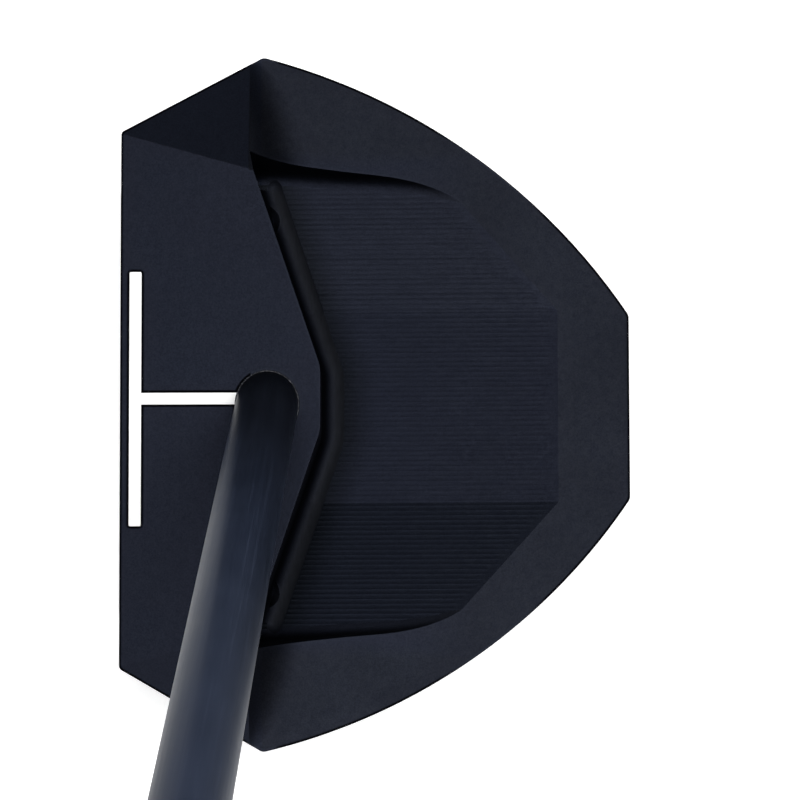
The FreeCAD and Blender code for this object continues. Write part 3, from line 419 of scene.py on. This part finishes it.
# face insert: fly-cut arcs across the hitting face, satin steel
m = Nodes("insert_face_milled")
x, y, z = m.xyz()
zc = m.math("ADD", z, 0.046)
arc = m.math("SQRT", m.math("ADD", m.math("MULTIPLY", y, y), m.math("MULTIPLY", zc, zc)))
wave = m.math("SINE", m.math("MULTIPLY", arc, 2 * math.pi / 0.00085))
wave = m.math("ADD", m.math("MULTIPLY", wave, 0.5), 0.5)
lines = m.noise(1.0, 3.0, 0.6, at=m.scale(m.pos, (2500.0, 60.0, 2500.0)))
fine = m.noise(3800.0, 2.0, 0.6)
smear = m.noise(90.0, 4.0, 0.6)
col = m.mix(m.ramp(smear, 0.3, 0.7), (0.165, 0.172, 0.185), (0.21, 0.217, 0.23))
col = m.mix(m.math("MULTIPLY", wave, 0.35), col, (0.27, 0.277, 0.29))
nrm = m.bump(wave, 0.000030, 0.6, m.edge(0.00018))
m.set(color=col, rough=m.ramp(lines, 0.3, 0.7, 0.30, 0.42), metal=1.0, normal=m.bump(fine, 0.000004, 0.5, nrm))
give("face_insert", m.mat)

# bonding film round the insert: cured grey epoxy with fine filler
m = Nodes("bond_film_epoxy")
fill = m.voronoi(5200.0)
v = m.noise(700.0, 3.0)
m.set(color=m.mix(m.ramp(fill, 0.15, 0.45), (0.16, 0.155, 0.14), (0.055, 0.055, 0.055)), rough=m.ramp(v, 0.3, 0.7, 0.35, 0.55),
      normal=m.bump(v, 0.00002, 0.6), spec=0.5)
give("insert_bond_film", m.mat)

# dowel pins: ground steel, with rings left by the grinding wheel
m = Nodes("pin_ground_steel")
ring = m.noise(1.0, 2.0, 0.5, at=m.scale(m.pos, (9000.0, 120.0, 120.0)))
v = m.noise(600.0, 3.0)
m.set(color=m.mix(m.ramp(v, 0.3, 0.7), (0.30, 0.305, 0.315), (0.38, 0.385, 0.40)), rough=m.ramp(ring, 0.3, 0.7, 0.22, 0.36), metal=1.0,
      normal=m.bump(ring, 0.000004, 0.6, m.edge(0.0002)))
give("insert_pins", m.mat)

# epoxy line round the shaft: dark, with light specks of filler
m = Nodes("shaft_epoxy_line")
speck = m.noise(5200.0, 2.0, 0.7)
v = m.noise(1500.0, 2.0)
col = m.mix(m.ramp(speck, 0.50, 0.60), (0.014, 0.015, 0.019), (0.17, 0.175, 0.195))
m.set(color=col, rough=m.ramp(v, 0.3, 0.7, 0.55, 0.75), normal=m.bump(speck, 0.00003, 0.8), spec=0.15)
give("shaft_bond_sleeve", m.mat)

# shaft: satin plated steel, faint lines along its length
m = Nodes("shaft_satin_plate")
along = m.frame(deck_at, axis_rot)
line = m.noise(1.0, 3.0, 0.6, at=m.scale(along, (2600.0, 2600.0, 26.0)))
patch = m.noise(1.0, 3.0, 0.6, at=m.scale(along, (170.0, 170.0, 45.0)))
dust = m.voronoi(900.0)
col = m.mix(m.ramp(patch, 0.3, 0.7), tuple(c * 0.93 for c in SHAFT), tuple(c * 1.07 for c in SHAFT))
col = m.mix(m.ramp(line, 0.56, 0.70, 0.0, 0.35), col, tuple(c * 1.5 for c in SHAFT))
col = m.mix(m.ramp(dust, 0.045, 0.030, 0.0, 0.5), col, (0.30, 0.31, 0.33))
rough = m.math("ADD", m.ramp(patch, 0.3, 0.7, SHAFT_ROUGH - 0.02, SHAFT_ROUGH + 0.02), m.ramp(line, 0.4, 0.7, 0.0, 0.03))
m.set(color=col, tint=SHAFT_TINT, rough=rough, metal=1.0, normal=m.bump(line, 0.000006, 0.5))
give("shaft", m.mat)

# tip plug: cork-like pressed composite
m = Nodes("tip_plug_composite")
grain = m.voronoi(900.0)
v = m.noise(2500.0, 3.0, 0.6)
m.set(color=m.mix(m.ramp(grain, 0.1, 0.6), (0.42, 0.28, 0.16), (0.62, 0.46, 0.29)), rough=m.ramp(v, 0.3, 0.7, 0.75, 0.9),
      normal=m.bump(v, 0.00008, 0.7), spec=0.2)
give("shaft_tip_plug", m.mat)

# sole weights: turned steel; rings about each weight's own centre
m = Nodes("weight_turned_steel")
gen = m.tc.outputs["Generated"]
gx, gy, gz = m.xyz(gen)
ax, ay = m.math("SUBTRACT", gx, 0.5), m.math("SUBTRACT", gy, 0.5)
rad = m.math("SQRT", m.math("ADD", m.math("MULTIPLY", ax, ax), m.math("MULTIPLY", ay, ay)))
join = m.n("ShaderNodeCombineXYZ")
m.put(join.inputs[0], m.math("MULTIPLY", rad, 85.0))
rings = m.noise(1.0, 2.0, 0.5, at=join.outputs[0])
smear = m.noise(260.0, 4.0, 0.6)
scr = m.noise(1.0, 2.0, 0.5, at=m.scale(m.pos, (2600.0, 90.0, 90.0)))
col = m.mix(m.ramp(smear, 0.3, 0.7), (0.31, 0.315, 0.325), (0.40, 0.405, 0.415))
col = m.mix(m.ramp(scr, 0.62, 0.72, 0.0, 0.5), col, (0.55, 0.555, 0.56))
# painted shade: each weight is darkened over its middle, round the socket
socket = m.ramp(rad, 0.215, 0.185)
col = m.mix(m.math("MULTIPLY", socket, 0.55), col, (0.10, 0.10, 0.105))
m.set(color=col, rough=m.ramp(rings, 0.35, 0.65, 0.24, 0.38), metal=1.0, normal=m.bump(rings, 0.000010, 0.7, m.edge(0.0002)))
for nd in nodes:
    if nd.startswith("sole_weight"):
        give(nd, m.mat)

# grip tape: cream crepe paper
m = Nodes("grip_tape_crepe")
along = m.frame(deck_at, axis_rot)
crepe = m.noise(1.0, 3.0, 0.6, at=m.scale(along, (500.0, 500.0, 2600.0)))
v = m.noise(3200.0, 2.0)
m.set(color=m.mix(m.ramp(crepe, 0.3, 0.7), (0.55, 0.50, 0.38), (0.72, 0.67, 0.54)), rough=m.ramp(v, 0.3, 0.7, 0.7, 0.85),
      normal=m.bump(crepe, 0.00008, 0.8), spec=0.2)
give("grip_tape", m.mat)

# grip core: closed-cell foam
m = Nodes("grip_core_foam")
cell = m.voronoi(1900.0)
v = m.noise(800.0, 3.0)
m.set(color=m.mix(m.ramp(cell, 0.05, 0.5), (0.018, 0.018, 0.019), (0.05, 0.05, 0.052)), rough=m.ramp(v, 0.3, 0.7, 0.85, 0.95),
      normal=m.bump(cell, 0.00015, 0.8), spec=0.2)
give("grip_underlisting", m.mat)

# grip skin: soft polymer with a lozenge pattern pressed into it, plain bands at both ends
m = Nodes("grip_skin_polymer")
local = m.frame(deck_at, axis_rot)
lx, ly, lz = m.xyz(local)
turn = m.math("MULTIPLY", m.math("ARCTAN2", ly, lx), 40 / (2 * math.pi))
rise = m.math("DIVIDE", lz, 0.0034)
diag_a = m.math("ABSOLUTE", m.math("SUBTRACT", m.math("FRACT", m.math("ADD", m.math("ADD", turn, rise), 500.0)), 0.5))
diag_b = m.math("ABSOLUTE", m.math("SUBTRACT", m.math("FRACT", m.math("ADD", m.math("SUBTRACT", turn, rise), 500.0)), 0.5))
cut = m.ramp(m.math("MINIMUM", diag_a, diag_b), 0.04, 0.15, 0.0, 1.0, smooth=True)
# pattern runs from 12 mm above the mouth to 12 mm below the cap
band = m.math("MULTIPLY", m.ramp(lz, GRIP_LO + 0.0120, GRIP_LO + 0.0125), m.ramp(lz, GRIP_HI - 0.0120, GRIP_HI - 0.0125))
cut = m.math("SUBTRACT", 1.0, m.math("MULTIPLY", m.math("SUBTRACT", 1.0, cut), band))
for lo in (GRIP_LO + 0.0095, GRIP_HI - 0.0105):
    ring = m.math("MULTIPLY", m.ramp(lz, lo, lo + 0.0002), m.ramp(lz, lo + 0.0010, lo + 0.0008))
    cut = m.math("SUBTRACT", cut, ring, clamp=True)
leather = m.voronoi(1700.0, feature="SMOOTH_F1")
pores = m.noise(4200.0, 3.0, 0.6)
handled = m.noise(26.0, 4.0, 0.6)
col = m.mix(m.ramp(handled, 0.3, 0.7), (0.020, 0.021, 0.024), (0.033, 0.034, 0.038))
# painted shade: the pressed lines and end rings are painted near-black
col = m.mix(cut, (0.006, 0.006, 0.007), col)
col = m.mix(m.ramp(pores, 0.55, 0.75, 0.0, 0.4), col, (0.06, 0.061, 0.064))
nrm = m.bump(cut, 0.00030, 0.8)
nrm = m.bump(leather, 0.00006, 0.5, nrm)
m.set(color=col, rough=m.ramp(handled, 0.3, 0.7, 0.52, 0.68), normal=m.bump(pores, 0.00002, 0.5, nrm), spec=0.4)
give("grip_skin", m.mat)

# collar and cap: moulded rubber, slightly glossier, with a rounded rim
m = Nodes("grip_trim_rubber")
mould = m.noise(1800.0, 3.0, 0.6)
wipe = m.noise(120.0, 4.0, 0.6)
m.set(color=m.mix(m.ramp(wipe, 0.3, 0.7), (0.012, 0.012, 0.013), (0.022, 0.022, 0.024)), rough=m.ramp(wipe, 0.3, 0.7, 0.38, 0.52),
      normal=m.bump(mould, 0.00003, 0.5, m.edge(0.0004)), spec=0.45)
for nd in ("grip_mouth_collar", "grip_butt_cap"):
    give(nd, m.mat)

bpy.context.view_layer.update()
